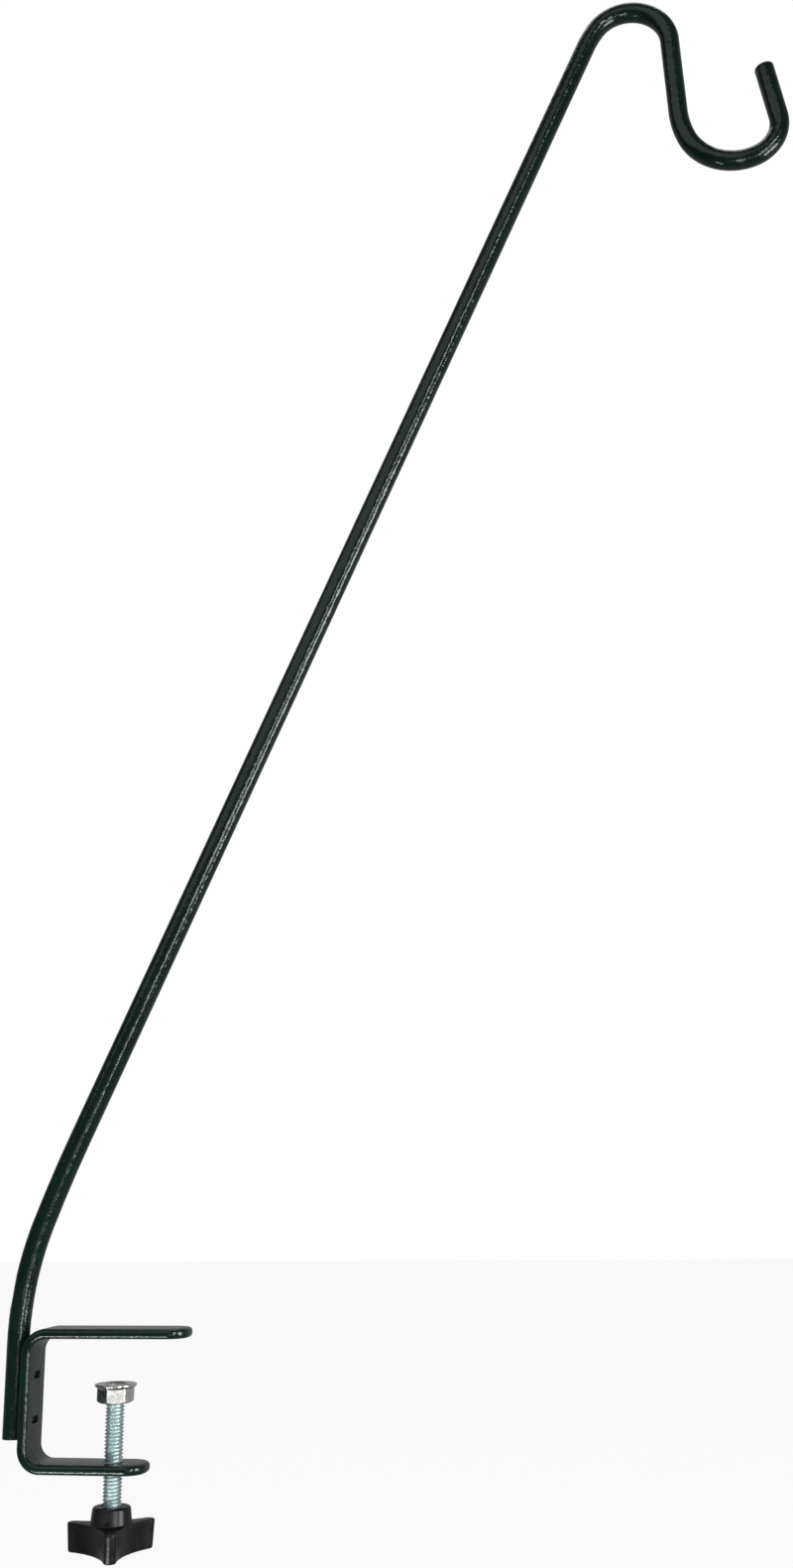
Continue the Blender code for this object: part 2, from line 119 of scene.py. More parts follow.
def add_slot_block(name, length, centre, clearance):
    """A block through the strap with the slot's outline, smaller all round by a clearance."""
    bpy.ops.object.select_all(action="DESELECT")
    bpy.ops.mesh.primitive_cube_add(size=1.0, location=centre)
    block = bpy.context.object
    block.name = name
    block.scale = (length, WELD_SLOT[0] - 2 * clearance, WELD_SLOT[1] - 2 * clearance)
    apply_place(block)
    bpy.ops.object.mode_set(mode="EDIT")
    bpy.ops.mesh.select_all(action="DESELECT")
    bm = bmesh.from_edit_mesh(block.data)
    for edge in bm.edges:
        edge.select = abs(edge.verts[0].co.x - edge.verts[1].co.x) > length / 2
    bmesh.update_edit_mesh(block.data)
    bpy.ops.mesh.bevel(offset=WELD_SLOT_CORNER, segments=WELD_SLOT_STEPS, affect="EDGES")
    bpy.ops.object.mode_set(mode="OBJECT")
    return block


def select_line(piece, test):
    """Selects the edges whose two ends pass a test, in edit mode."""
    bpy.ops.mesh.select_all(action="DESELECT")
    bm = bmesh.from_edit_mesh(piece.data)
    for vertex in bm.verts:
        vertex.select = test(vertex.co)
    bm.select_flush(True)
    bmesh.update_edit_mesh(piece.data)


def bend_bar(piece, test, centre_z):
    """Spins the bar's open end a quarter turn downwards and back about the bend's centre."""
    select_line(piece, test)
    bpy.ops.mesh.spin(steps=BEND_STEPS, angle=QUARTER_TURN, axis=(0.0, 1.0, 0.0),
                      center=(STRAP_X + BEND_INNER, 0.0, centre_z))


middle = BAR_THICKNESS / 2
cut_length = 3 * BAR_THICKNESS
upper_bend_z = -BEND_INNER
lower_bend_z = -JAW_HEIGHT + BEND_INNER
lower_middle_z = -JAW_HEIGHT - middle
bend_x = STRAP_X + BEND_INNER
bpy.ops.object.select_all(action="DESELECT")
bpy.ops.mesh.primitive_plane_add(size=1.0, location=((UPPER_TIP_X + bend_x) / 2, 0.0, middle))
bracket = bpy.context.object
bracket.name = "bent_flat_bar"
bracket.scale = (UPPER_TIP_X - bend_x, BAR_WIDTH, 1.0)
apply_place(bracket)
bpy.ops.object.mode_set(mode="EDIT")
bend_bar(bracket, lambda co: co.x < bend_x + middle, upper_bend_z)
select_line(bracket, lambda co: abs(co.z - upper_bend_z) < SNAP and co.x < STRAP_X)
bpy.ops.mesh.extrude_region_move(
    TRANSFORM_OT_translate={"value": (0.0, 0.0, lower_bend_z - upper_bend_z)})
bend_bar(bracket, lambda co: abs(co.z - lower_bend_z) < SNAP, lower_bend_z)
select_line(bracket, lambda co: abs(co.z - lower_middle_z) < SNAP and co.x > bend_x - SNAP)
bpy.ops.mesh.extrude_region_move(TRANSFORM_OT_translate={"value": (LOWER_TIP_X - bend_x, 0.0, 0.0)})
bpy.ops.mesh.select_all(action="SELECT")
bpy.ops.mesh.remove_doubles(threshold=SNAP)
select_line(bracket, lambda co: co.x > UPPER_TIP_X - SNAP
            or (co.z < lower_bend_z and co.x > LOWER_TIP_X - SNAP))
bpy.ops.mesh.bevel(offset=TIP_CORNER, segments=TIP_STEPS, affect="VERTICES")
bpy.ops.mesh.select_all(action="SELECT")
bpy.ops.mesh.normals_make_consistent(inside=False)
bpy.ops.object.mode_set(mode="OBJECT")
wall = bracket.modifiers.new("Bar thickness", "SOLIDIFY")
wall.thickness = BAR_THICKNESS
wall.offset = 0.0
wall.use_even_offset = True
add_rounding(bracket, BAR_EDGE, BAR_EDGE_STEPS, SHARP_EDGE)
apply_modifiers(bracket)
cut_with(bracket, add_drill(SCREW_HOLE, cut_length, (0.0, 0.0, lower_middle_z)))
for height in WELD_SLOT_HEIGHTS:
    cut_with(bracket, add_slot_block("weld_slot", cut_length, (STRAP_X - middle, 0.0, height), 0.0))
smooth(bracket, BAR_SMOOTHING)

PAINT_DARK = (0.0024, 0.0090, 0.0066)
PAINT_LIGHT = (0.0036, 0.0130, 0.0095)
PAINT_CLOUDS = 60.0
PAINT_ROUGHNESS = (0.12, 0.21)
PAINT_HAZE = 220.0
PAINT_IOR = 1.45
PEEL_SCALES = (380.0, 900.0)
PEEL_STRENGTHS = (0.55, 0.12)
PEEL_DEPTH = 0.0004
COLOUR_SPAN = (0.35, 0.65)
ROUGHNESS_SPAN = (0.3, 0.7)
SURFACE_DETAIL = 3.0
RELIEF_DETAIL = 2.0


def new_material(name, colour, roughness, metallic=0.0):
    """A plain material. What is linked to its sockets later takes the place of their values."""
    material = bpy.data.materials.new(name)
    material.use_nodes = True
    shader = material.node_tree.nodes["Principled BSDF"]
    shader.inputs["Base Color"].default_value = (*colour, 1.0)
    shader.inputs["Roughness"].default_value = roughness
    shader.inputs["Metallic"].default_value = metallic
    return material, shader


def add_noise(material, scale, detail):
    """Noise on the piece's own place, so that it doesn't slide when the piece moves."""
    nodes, links = material.node_tree.nodes, material.node_tree.links
    place = nodes.new("ShaderNodeTexCoord")
    noise = nodes.new("ShaderNodeTexNoise")
    noise.inputs["Scale"].default_value = scale
    noise.inputs["Detail"].default_value = detail
    links.new(place.outputs["Object"], noise.inputs["Vector"])
    return noise


def vary_colour(material, shader, scale, dark, light):
    """Lets the base colour wander between two values of the same paint or metal."""
    nodes, links = material.node_tree.nodes, material.node_tree.links
    ramp = nodes.new("ShaderNodeValToRGB")
    for stop, position, colour in zip(ramp.color_ramp.elements, COLOUR_SPAN, (dark, light)):
        stop.position = position
        stop.color = (*colour, 1.0)
    links.new(add_noise(material, scale, SURFACE_DETAIL).outputs["Fac"], ramp.inputs["Fac"])
    links.new(ramp.outputs["Color"], shader.inputs["Base Color"])


def set_range(spread, source, result):
    """Sets a Map Range node's two ranges."""
    spread.inputs["From Min"].default_value, spread.inputs["From Max"].default_value = source
    spread.inputs["To Min"].default_value, spread.inputs["To Max"].default_value = result


def vary_roughness(material, shader, scale, roughness):
    """Lets the gloss wander between two roughnesses, as it does on any handled surface."""
    nodes, links = material.node_tree.nodes, material.node_tree.links
    spread = nodes.new("ShaderNodeMapRange")
    set_range(spread, ROUGHNESS_SPAN, roughness)
    links.new(add_noise(material, scale, SURFACE_DETAIL).outputs["Fac"], spread.inputs["Value"])
    links.new(spread.outputs["Result"], shader.inputs["Roughness"])


def add_relief(material, shader, scales, strengths, distance):
    """Adds noise reliefs one after another, coarse to fine."""
    nodes, links = material.node_tree.nodes, material.node_tree.links
    last = None
    for scale, strength in zip(scales, strengths):
        bump = nodes.new("ShaderNodeBump")
        bump.inputs["Strength"].default_value = strength
        bump.inputs["Distance"].default_value = distance
        links.new(add_noise(material, scale, RELIEF_DETAIL).outputs["Fac"], bump.inputs["Height"])
        if last:
            links.new(last.outputs["Normal"], bump.inputs["Normal"])
        last = bump
    links.new(last.outputs["Normal"], shader.inputs["Normal"])


def powder_coat(name):
    """Dark green powder coat: glossy, with the slight orange peel that breaks up its highlights."""
    material, shader = new_material(name, colour=(0.0030, 0.0110, 0.0080), roughness=0.18)
    shader.inputs["IOR"].default_value = PAINT_IOR
    vary_colour(material, shader, PAINT_CLOUDS, PAINT_DARK, PAINT_LIGHT)
    vary_roughness(material, shader, PAINT_HAZE, PAINT_ROUGHNESS)
    add_relief(material, shader, PEEL_SCALES, PEEL_STRENGTHS, PEEL_DEPTH)
    return material


def finish_piece(piece, body, slot, material, *nodes):
    """Gives a finished piece its material and body, and hides the solids it stands for. The slot is not
    used.
    """
    piece.data.materials.clear()
    piece.data.materials.append(material)
    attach(piece, body)
    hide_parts(*nodes)


green_paint = powder_coat("dark_green_powder_coat")
finish_piece(bracket, "bracket", "powder_coat", green_paint, "clamp_bracket")


# Hook rod. One 9.5 mm round steel bar, bent cold: a straight foot against the strap, a long bend, a
# slant, a tight crest, an open bowl and a short lip. Both ends are sawn square and lightly broken.
ROD_DIAMETER = 0.0095
ROD_SEAT_GAP = 0.0003
ROD_FOOT_END_Z = -0.0405
ROD_FOOT_LENGTH = 0.0380
FOOT_BEND = (0.1385, 20.75)
EASE_BEND = (0.600, 3.65)
SLANT_LENGTH = 0.5914
CREST_ENTRY_BEND = (0.050, 12.9)
CREST_RADIUS = 0.0202
LEG_LEAN = 2.45
LEG_LENGTH = 0.0425
BOWL_ENTRY_BEND = (0.0467, 19.7)
BOWL_BEND = (0.0253, 87.9)
LIP_RADIUS = 0.0196
LIP_LEAN = 9.9
LIP_LENGTH = 0.0283
ROD_BEND_STEP = 2.0
ROD_RESOLUTION = 10
ROD_SEAM = 0.00001
ROD_END_BREAK = 0.0008
ROD_END_STEPS = 4
ROD_END_ANGLE = 60.0
ROD_SMOOTHING = 40.0
SLANT_PIECES = 6
DIE_RADIUS = 0.035
DIE_MARK_DEPTH = 0.0009
DIE_MARK_TURN = 8.3

rod_radius = ROD_DIAMETER / 2
foot_x = STRAP_X - BAR_THICKNESS - ROD_SEAT_GAP - rod_radius
rod_points = [Vector((foot_x, 0.0, ROD_FOOT_END_Z))]
rod_heading = 0.0


def run_on(length, pieces=1):
    """Carries the rod straight on. The heading is counted from up towards the hook's side."""
    direction = Vector((math.sin(rod_heading), 0.0, math.cos(rod_heading)))
    start = rod_points[-1].copy()
    for k in range(1, pieces + 1):
        rod_points.append(start + direction * length * k / pieces)


def bend_on(radius, degrees):
    """Carries the rod round a bend, towards the hook's side where the turn is positive."""
    global rod_heading
    side = math.copysign(1.0, degrees)
    across = Vector((math.cos(rod_heading), 0.0, -math.sin(rod_heading))) * side
    centre = rod_points[-1] + across * radius
    steps = max(3, math.ceil(abs(degrees) / ROD_BEND_STEP))
    start = rod_heading
    for k in range(1, steps + 1):
        heading = start + math.radians(degrees) * k / steps
        across = Vector((math.cos(heading), 0.0, -math.sin(heading))) * side
        rod_points.append(centre - across * radius)
    rod_heading = start + math.radians(degrees)


run_on(ROD_FOOT_LENGTH)
foot_bend_centre = rod_points[-1] + Vector((FOOT_BEND[0], 0.0, 0.0))
bend_on(*FOOT_BEND)
bend_on(*EASE_BEND)
run_on(SLANT_LENGTH, SLANT_PIECES)
bend_on(*CREST_ENTRY_BEND)
bend_on(CREST_RADIUS, 180.0 - LEG_LEAN - math.degrees(rod_heading))
run_on(LEG_LENGTH)
bend_on(BOWL_ENTRY_BEND[0], -BOWL_ENTRY_BEND[1])
bend_on(BOWL_BEND[0], -BOWL_BEND[1])
bend_on(LIP_RADIUS, -LIP_LEAN - math.degrees(rod_heading))
run_on(LIP_LENGTH)

path = bpy.data.curves.new("bent_round_bar", "CURVE")
path.dimensions = "3D"
path.bevel_depth = rod_radius
path.bevel_resolution = ROD_RESOLUTION
path.use_fill_caps = True
line = path.splines.new("POLY")
line.points.add(len(rod_points) - 1)
for target, point in zip(line.points, rod_points):
    target.co = (*point, 1.0)
rod = bpy.data.objects.new("bent_round_bar", path)
bpy.context.scene.collection.objects.link(rod)
only(rod)
bpy.ops.object.convert(target="MESH")
rod = bpy.context.object
bpy.ops.object.mode_set(mode="EDIT")
bpy.ops.mesh.select_all(action="SELECT")
bpy.ops.mesh.remove_doubles(threshold=ROD_SEAM)
bpy.ops.mesh.normals_make_consistent(inside=False)
bpy.ops.object.mode_set(mode="OBJECT")
add_rounding(rod, ROD_END_BREAK, ROD_END_STEPS, ROD_END_ANGLE)
apply_modifiers(rod)
mark_turn = math.radians(DIE_MARK_TURN)
mark_reach = FOOT_BEND[0] + rod_radius - DIE_MARK_DEPTH + DIE_RADIUS
die_centre = foot_bend_centre + Vector((-math.cos(mark_turn), 0.0, math.sin(mark_turn))) * mark_reach
for vertex in rod.data.vertices:
    away = Vector((vertex.co.x - die_centre.x, 0.0, vertex.co.z - die_centre.z))
    if away.length < DIE_RADIUS:
        pressed = die_centre + away.normalized() * DIE_RADIUS
        vertex.co.x, vertex.co.z = pressed.x, pressed.z
smooth(rod, ROD_SMOOTHING)
finish_piece(rod, "bracket", "powder_coat", green_paint, "hook_rod")


# Plug welds. Weld metal fills the strap's two slots from the rod and is painted over. It has the
# dull, uneven skin of a small weld, and lies well below the strap's inner face.
WELD_LENGTH = 0.0028
WELD_GAP = 0.0003
WELD_CROWN = 0.00056
WELD_CROWN_STEPS = 3
WELD_CROWN_ANGLE = 60.0
WELD_SMOOTHING = 50.0
WELD_DARK = (0.003, 0.008, 0.006)
WELD_LIGHT = (0.006, 0.014, 0.011)
WELD_CLOUDS = 900.0
WELD_RIPPLE_SCALES = (700.0, 1600.0)
WELD_RIPPLE_STRENGTHS = (0.5, 0.3)
WELD_RIPPLE_DEPTH = 0.0003

weld_skin, weld_shader = new_material("painted_weld", colour=(0.004, 0.010, 0.008), roughness=0.55)
vary_colour(weld_skin, weld_shader, WELD_CLOUDS, WELD_DARK, WELD_LIGHT)
add_relief(weld_skin, weld_shader, WELD_RIPPLE_SCALES, WELD_RIPPLE_STRENGTHS, WELD_RIPPLE_DEPTH)
for label, height in zip(("upper", "lower"), WELD_SLOT_HEIGHTS):
    plug_x = STRAP_X - BAR_THICKNESS + WELD_LENGTH / 2
    plug = add_slot_block(label + "_weld", WELD_LENGTH, (plug_x, 0.0, height), WELD_GAP)
    add_rounding(plug, WELD_CROWN, WELD_CROWN_STEPS, WELD_CROWN_ANGLE)
    apply_modifiers(plug)
    smooth(plug, WELD_SMOOTHING)
    finish_piece(plug, "bracket", "painted_weld", weld_skin, label + "_weld_plug")


# Clamp screw. A steel screw, 5/16 inch with 18 threads to the inch, rolled and plated bluish zinc.
# Its neck is turned down for the nut and peened over, and its hexagon head sits in the knob.
PITCH = 0.0254 / 18
SCREW_RADIUS = 0.00397
THREAD_DEPTH = 0.00072
NECK_RADIUS = 0.0031
NECK_TOP_Z = -0.0192
PEEN_RADIUS = 0.0042
PEEN_HEIGHT = 0.0012
PEEN_ROUND = 0.00048
PEEN_STEPS = 4
PEEN_ANGLE = 60.0
SHOULDER_Z = -0.0261
HEAD_TOP_Z = -0.0777
HEAD_HEIGHT = 0.0053
HEAD_FLATS = 0.0127
HEAD_CHAMFER = 0.0004
HEAD_CHAMFER_STEPS = 2
HEX_SIDES = 6
LOBE_TURN = math.radians(-72.0)
FULL_TURN = math.radians(360.0)
THREAD_SIDES = 64
CREST_SHARE = 0.14
CREST_ROUND = 0.00006
ROOT_SHARE = 0.22
SEAM = 0.000005
CUT_SNAP = 0.0000001
SCREW_SMOOTHING = 32.0
ZINC_DARK = (0.52, 0.63, 0.64)
ZINC_LIGHT = (0.60, 0.71, 0.72)
ZINC_CLOUDS = 60.0
ZINC_ROUGHNESS = (0.46, 0.52)
ZINC_HAZE = 90.0


def draw_line(name, points):
    """Draws a line by extruding one vertex from each point to the next."""
    bpy.ops.object.select_all(action="DESELECT")
    bpy.ops.mesh.primitive_plane_add(size=PITCH)
    piece = bpy.context.object
    piece.name = name
    bpy.ops.object.mode_set(mode="EDIT")
    bpy.ops.mesh.merge(type="CENTER")
    bpy.ops.transform.translate(value=points[0])
    for start, end in zip(points, points[1:]):
        bpy.ops.mesh.extrude_region_move(TRANSFORM_OT_translate={"value": end - start})
    bpy.ops.object.mode_set(mode="OBJECT")
    return piece


root_radius = SCREW_RADIUS - THREAD_DEPTH
pitches = math.ceil((SHOULDER_Z - HEAD_TOP_Z) / PITCH) + 3
thread_foot = HEAD_TOP_Z - 2 * PITCH
crest = (1.0 + ROOT_SHARE) / 2
tooth = [(root_radius, 0.0), (root_radius, ROOT_SHARE),
         (SCREW_RADIUS - CREST_ROUND, crest - CREST_SHARE / 2), (SCREW_RADIUS, crest),
         (SCREW_RADIUS - CREST_ROUND, crest + CREST_SHARE / 2)]
outline = [Vector((radius, 0.0, thread_foot + (turn + share) * PITCH))
           for turn in range(pitches) for radius, share in tooth]
outline.append(Vector((root_radius, 0.0, thread_foot + pitches * PITCH)))
screw = draw_line("threaded_screw", outline)
winding = screw.modifiers.new("Thread", "SCREW")
winding.axis = "Z"
winding.angle = FULL_TURN
winding.screw_offset = PITCH
winding.steps = THREAD_SIDES
winding.render_steps = THREAD_SIDES
winding.use_merge_vertices = False
apply_modifiers(screw)
bpy.ops.object.mode_set(mode="EDIT")
bpy.ops.mesh.select_all(action="SELECT")
bpy.ops.mesh.remove_doubles(threshold=SEAM)
for height, keep_below in ((SHOULDER_Z, True), (HEAD_TOP_Z - HEAD_HEIGHT / 2, False)):
    bpy.ops.mesh.select_all(action="SELECT")
    bpy.ops.mesh.bisect(plane_co=(0.0, 0.0, height), plane_no=(0.0, 0.0, 1.0),
                        clear_outer=keep_below, clear_inner=not keep_below, threshold=CUT_SNAP)
bpy.ops.mesh.select_all(action="SELECT")
bpy.ops.mesh.fill_holes(sides=0)
bpy.ops.mesh.select_all(action="SELECT")
bpy.ops.mesh.normals_make_consistent(inside=False)
bpy.ops.object.mode_set(mode="OBJECT")

neck_middle = (NECK_TOP_Z + SHOULDER_Z) / 2 - PITCH / 4
cut_with(screw, add_drill(NECK_RADIUS, NECK_TOP_Z - SHOULDER_Z, (0.0, 0.0, neck_middle)), "UNION")
peen = add_drill(PEEN_RADIUS, PEEN_HEIGHT, (0.0, 0.0, NECK_TOP_Z - PEEN_HEIGHT / 2))
add_rounding(peen, PEEN_ROUND, PEEN_STEPS, PEEN_ANGLE)
apply_modifiers(peen)
cut_with(screw, peen, "UNION")
head = add_drill(HEAD_FLATS / math.sqrt(3.0), HEAD_HEIGHT, (0.0, 0.0, HEAD_TOP_Z - HEAD_HEIGHT / 2),
                 LOBE_TURN, HEX_SIDES)
add_rounding(head, HEAD_CHAMFER, HEAD_CHAMFER_STEPS, SHARP_EDGE)
apply_modifiers(head)
cut_with(screw, head, "UNION")
smooth(screw, SCREW_SMOOTHING)
zinc, zinc_shader = new_material("blue_zinc_plate", colour=(0.56, 0.66, 0.68), roughness=0.3,
                                 metallic=1.0)
vary_colour(zinc, zinc_shader, ZINC_CLOUDS, ZINC_DARK, ZINC_LIGHT)
vary_roughness(zinc, zinc_shader, ZINC_HAZE, ZINC_ROUGHNESS)
finish_piece(screw, "screw", "screw_plate", zinc, "clamp_screw")


# Flanged nut. Turned flange up, it is the foot that presses on the rail. Bright zinc on pressed
# steel: a hexagon with broken corners under a thin dished flange with a hollow for the peened end.
NUT_TOP_Z = -0.0183
NUT_HEIGHT = 0.0075
NUT_FLATS = 0.0135
FLANGE_RADIUS = 0.0088
FLANGE_EDGE = 0.0011
FLANGE_CONE = 0.0009
RIM_ROUND = 0.00044
RIM_UNDERCUT = 70.0
NUT_RECESS = 0.0048
NUT_RECESS_DEPTH = 0.0024
NUT_BORE = 0.0033
NUT_CORNER_BREAK = 0.0008
NUT_CORNER_ROUND = 0.0003
NUT_CORNER_STEPS = 3
NUT_TURN = math.radians(-72.0)
NUT_SMOOTHING = 28.0
TURNED_SIDES = 96
ROUNDING_STEPS = 5
BRIGHT_DARK = (0.70, 0.70, 0.68)
BRIGHT_LIGHT = (0.86, 0.86, 0.84)
BRIGHT_CLOUDS = 400.0
BRIGHT_ROUGHNESS = (0.14, 0.30)
BRIGHT_HAZE = 350.0
BRIGHT_DENT_SCALES = (500.0, 1500.0)
BRIGHT_DENT_STRENGTHS = (0.15, 0.12)
BRIGHT_DENT_DEPTH = 0.0003


def turned_piece(name, profile):
    """A piece turned about the screw's axis, its profile running down the outer side."""
    piece = draw_line(name, [Vector((radius, 0.0, height)) for radius, height in profile])
    turn = piece.modifiers.new("Turn", "SCREW")
    turn.axis = "Z"
    turn.steps = TURNED_SIDES
    turn.render_steps = TURNED_SIDES
    turn.use_merge_vertices = True
    turn.merge_threshold = SEAM
    apply_modifiers(piece)
    bpy.ops.object.mode_set(mode="EDIT")
    bpy.ops.mesh.select_all(action="SELECT")
    bpy.ops.mesh.remove_doubles(threshold=SEAM)
    bpy.ops.mesh.normals_make_consistent(inside=False)
    bpy.ops.object.mode_set(mode="OBJECT")
    return piece


def arc(centre, radius, start, end, steps):
    """Points along an arc, from one angle in degrees to another."""
    points = []
    for k in range(steps + 1):
        angle = math.radians(start + (end - start) * k / steps)
        points.append(centre + radius * Vector((math.cos(angle), math.sin(angle))))
    return points


def rounded_edge(centre_radius, centre_height, radius, start, end):
    """A turned piece's rounded edge, its angles counted from outwards towards up."""
    return arc(Vector((centre_radius, centre_height)), radius, start, end, ROUNDING_STEPS)


nut_foot_z = NUT_TOP_Z - NUT_HEIGHT
corner = NUT_FLATS / math.sqrt(3.0)
rim_radius = FLANGE_RADIUS - RIM_ROUND
flange_foot_z = NUT_TOP_Z - FLANGE_EDGE
flange_profile = ([(0.0, NUT_TOP_Z - RIM_ROUND / 4), (NUT_RECESS + RIM_ROUND, NUT_TOP_Z)]
                  + rounded_edge(rim_radius, NUT_TOP_Z - RIM_ROUND, RIM_ROUND, 90.0, 0.0)
                  + rounded_edge(rim_radius, flange_foot_z + RIM_ROUND, RIM_ROUND, 0.0, -RIM_UNDERCUT)
                  + [(NUT_FLATS / 2 + RIM_ROUND, flange_foot_z - FLANGE_CONE),
                     (0.0, flange_foot_z - FLANGE_CONE)])
nut = turned_piece("flanged_nut", flange_profile)
hexagon = add_drill(corner, NUT_HEIGHT - FLANGE_EDGE, (0.0, 0.0, (flange_foot_z + nut_foot_z) / 2),
                    NUT_TURN, HEX_SIDES)
add_rounding(hexagon, NUT_CORNER_ROUND, NUT_CORNER_STEPS, SHARP_EDGE)
apply_modifiers(hexagon)
chamfer = turned_piece("nut_chamfer", [
    (0.0, NUT_TOP_Z), (2 * corner, NUT_TOP_Z),
    (2 * corner, nut_foot_z + NUT_CORNER_BREAK + corner / math.sqrt(3.0)),
    (corner - NUT_CORNER_BREAK * math.sqrt(3.0), nut_foot_z), (0.0, nut_foot_z)])
cut_with(hexagon, chamfer, "INTERSECT")
cut_with(nut, hexagon, "UNION")
recess_floor = NUT_TOP_Z - NUT_RECESS_DEPTH
bore = turned_piece("nut_bore", [
    (0.0, NUT_TOP_Z + FLANGE_EDGE), (NUT_RECESS + FLANGE_EDGE + RIM_ROUND, NUT_TOP_Z + FLANGE_EDGE),
    (NUT_RECESS, NUT_TOP_Z - RIM_ROUND), (NUT_RECESS, recess_floor), (NUT_BORE, recess_floor),
    (NUT_BORE, nut_foot_z + RIM_ROUND), (NUT_BORE + 4 * RIM_ROUND, nut_foot_z - 3 * RIM_ROUND),
    (0.0, nut_foot_z - 3 * RIM_ROUND)])
cut_with(nut, bore)
smooth(nut, NUT_SMOOTHING)
bright, bright_shader = new_material("bright_zinc_plate", colour=(0.80, 0.80, 0.78), roughness=0.2,
                                     metallic=1.0)
vary_colour(bright, bright_shader, BRIGHT_CLOUDS, BRIGHT_DARK, BRIGHT_LIGHT)
vary_roughness(bright, bright_shader, BRIGHT_HAZE, BRIGHT_ROUGHNESS)
add_relief(bright, bright_shader, BRIGHT_DENT_SCALES, BRIGHT_DENT_STRENGTHS, BRIGHT_DENT_DEPTH)
finish_piece(nut, "foot", "nut_plate", bright, "flange_nut")


# Star knob. Black moulded plastic with three drafted lobes and a round hub, its edges softened by
# the mould. A six-sided pocket in its underside is pressed over the screw's head.
KNOB_REACH = 0.0204
LOBE_TIP = 0.0027
KNOB_WAIST = 0.0083
LOBE_DRAFT = 0.0008
LOBE_TOP_Z = -0.0727
LOBE_FOOT_Z = -0.0841
HUB_TOP_Z = -0.0657
HUB_TOP_RADIUS = 0.0080
HUB_BASE_RADIUS = 0.0086
HUB_ROUND = 0.0012
HEAD_GAP = 0.0003
LOBES = 3
ARC_STEPS = 18
SKIN_CELL = 0.00032
SKIN_SOFTENING = 0.5
SKIN_PASSES = 14
KNOB_SMOOTHING = 35.0
PLASTIC_DARK = (0.0028, 0.0028, 0.0032)
PLASTIC_LIGHT = (0.0048, 0.0048, 0.0044)
PLASTIC_CLOUDS = 120.0
PLASTIC_ROUGHNESS = (0.26, 0.40)
PLASTIC_HAZE = 150.0
PLASTIC_IOR = 1.4
PLASTIC_GRAIN_SCALES = (350.0, 1800.0)
PLASTIC_GRAIN_STRENGTHS = (0.10, 0.15)
PLASTIC_GRAIN_DEPTH = 0.0003

tip_distance = KNOB_REACH - LOBE_TIP
hollow_radius = ((KNOB_WAIST ** 2 + tip_distance ** 2 - KNOB_WAIST * tip_distance - LOBE_TIP ** 2)
                 / (tip_distance + 2 * LOBE_TIP - 2 * KNOB_WAIST))
lobe_spacing = 360.0 / LOBES
hollow_heading = math.radians(lobe_spacing / 2)
hollow_distance = KNOB_WAIST + hollow_radius
hollow_centre = hollow_distance * Vector((math.cos(hollow_heading), math.sin(hollow_heading)))
contact = math.degrees(math.atan2(hollow_centre.y, hollow_centre.x - tip_distance))
hollow_half = contact - lobe_spacing / 2
hollow_middle = lobe_spacing / 2 + 180.0
one_lobe = (arc(Vector((tip_distance, 0.0)), LOBE_TIP, -contact, contact, ARC_STEPS)
            + arc(hollow_centre, hollow_radius, hollow_middle + hollow_half, hollow_middle - hollow_half,
                  ARC_STEPS)[1:-1])
knob_outline = [Matrix.Rotation(math.radians(lobe * lobe_spacing), 2) @ point
                for lobe in range(LOBES) for point in one_lobe]
knob = draw_line("star_knob_moulding", [Vector((point.x, point.y, LOBE_TOP_Z))
                                        for point in knob_outline + knob_outline[:1]])
draft = (KNOB_REACH - LOBE_DRAFT) / KNOB_REACH
bpy.ops.object.mode_set(mode="EDIT")
bpy.ops.mesh.select_all(action="SELECT")
bpy.ops.mesh.remove_doubles(threshold=SEAM)
bpy.ops.mesh.edge_face_add()
bpy.ops.mesh.extrude_region_move(
    TRANSFORM_OT_translate={"value": (0.0, 0.0, LOBE_FOOT_Z - LOBE_TOP_Z)})
bpy.ops.transform.resize(value=(draft, draft, 1.0), center_override=(0.0, 0.0, LOBE_FOOT_Z))
bpy.ops.object.mode_set(mode="OBJECT")
knob.rotation_euler = (0.0, 0.0, LOBE_TURN)
apply_place(knob)
bpy.ops.object.mode_set(mode="EDIT")
bpy.ops.mesh.select_all(action="SELECT")
bpy.ops.mesh.normals_make_consistent(inside=False)
bpy.ops.object.mode_set(mode="OBJECT")
hub_foot_z = LOBE_TOP_Z - HUB_ROUND
hub_profile = ([(0.0, HUB_TOP_Z)]
               + rounded_edge(HUB_TOP_RADIUS - HUB_ROUND, HUB_TOP_Z - HUB_ROUND, HUB_ROUND, 90.0, 0.0)
               + [(HUB_BASE_RADIUS, LOBE_TOP_Z), (HUB_BASE_RADIUS - LOBE_DRAFT, hub_foot_z),
                  (0.0, hub_foot_z)])
hub = turned_piece("knob_hub", hub_profile)
cut_with(knob, hub, "UNION")
moulding = knob.modifiers.new("Moulded skin", "REMESH")
moulding.mode = "VOXEL"
moulding.voxel_size = SKIN_CELL
soften = knob.modifiers.new("Softened edges", "SMOOTH")
soften.factor = SKIN_SOFTENING
soften.iterations = SKIN_PASSES
apply_modifiers(knob)
pocket = add_drill((HEAD_FLATS + 2 * HEAD_GAP) / math.sqrt(3.0), 2 * HEAD_HEIGHT,
                   (0.0, 0.0, HEAD_TOP_Z + HEAD_GAP - HEAD_HEIGHT), LOBE_TURN, HEX_SIDES)
cut_with(knob, pocket)
shank = add_drill(SCREW_RADIUS + HEAD_GAP, 2 * (HUB_TOP_Z - HEAD_TOP_Z), (0.0, 0.0, HUB_TOP_Z))
cut_with(knob, shank)
smooth(knob, KNOB_SMOOTHING)
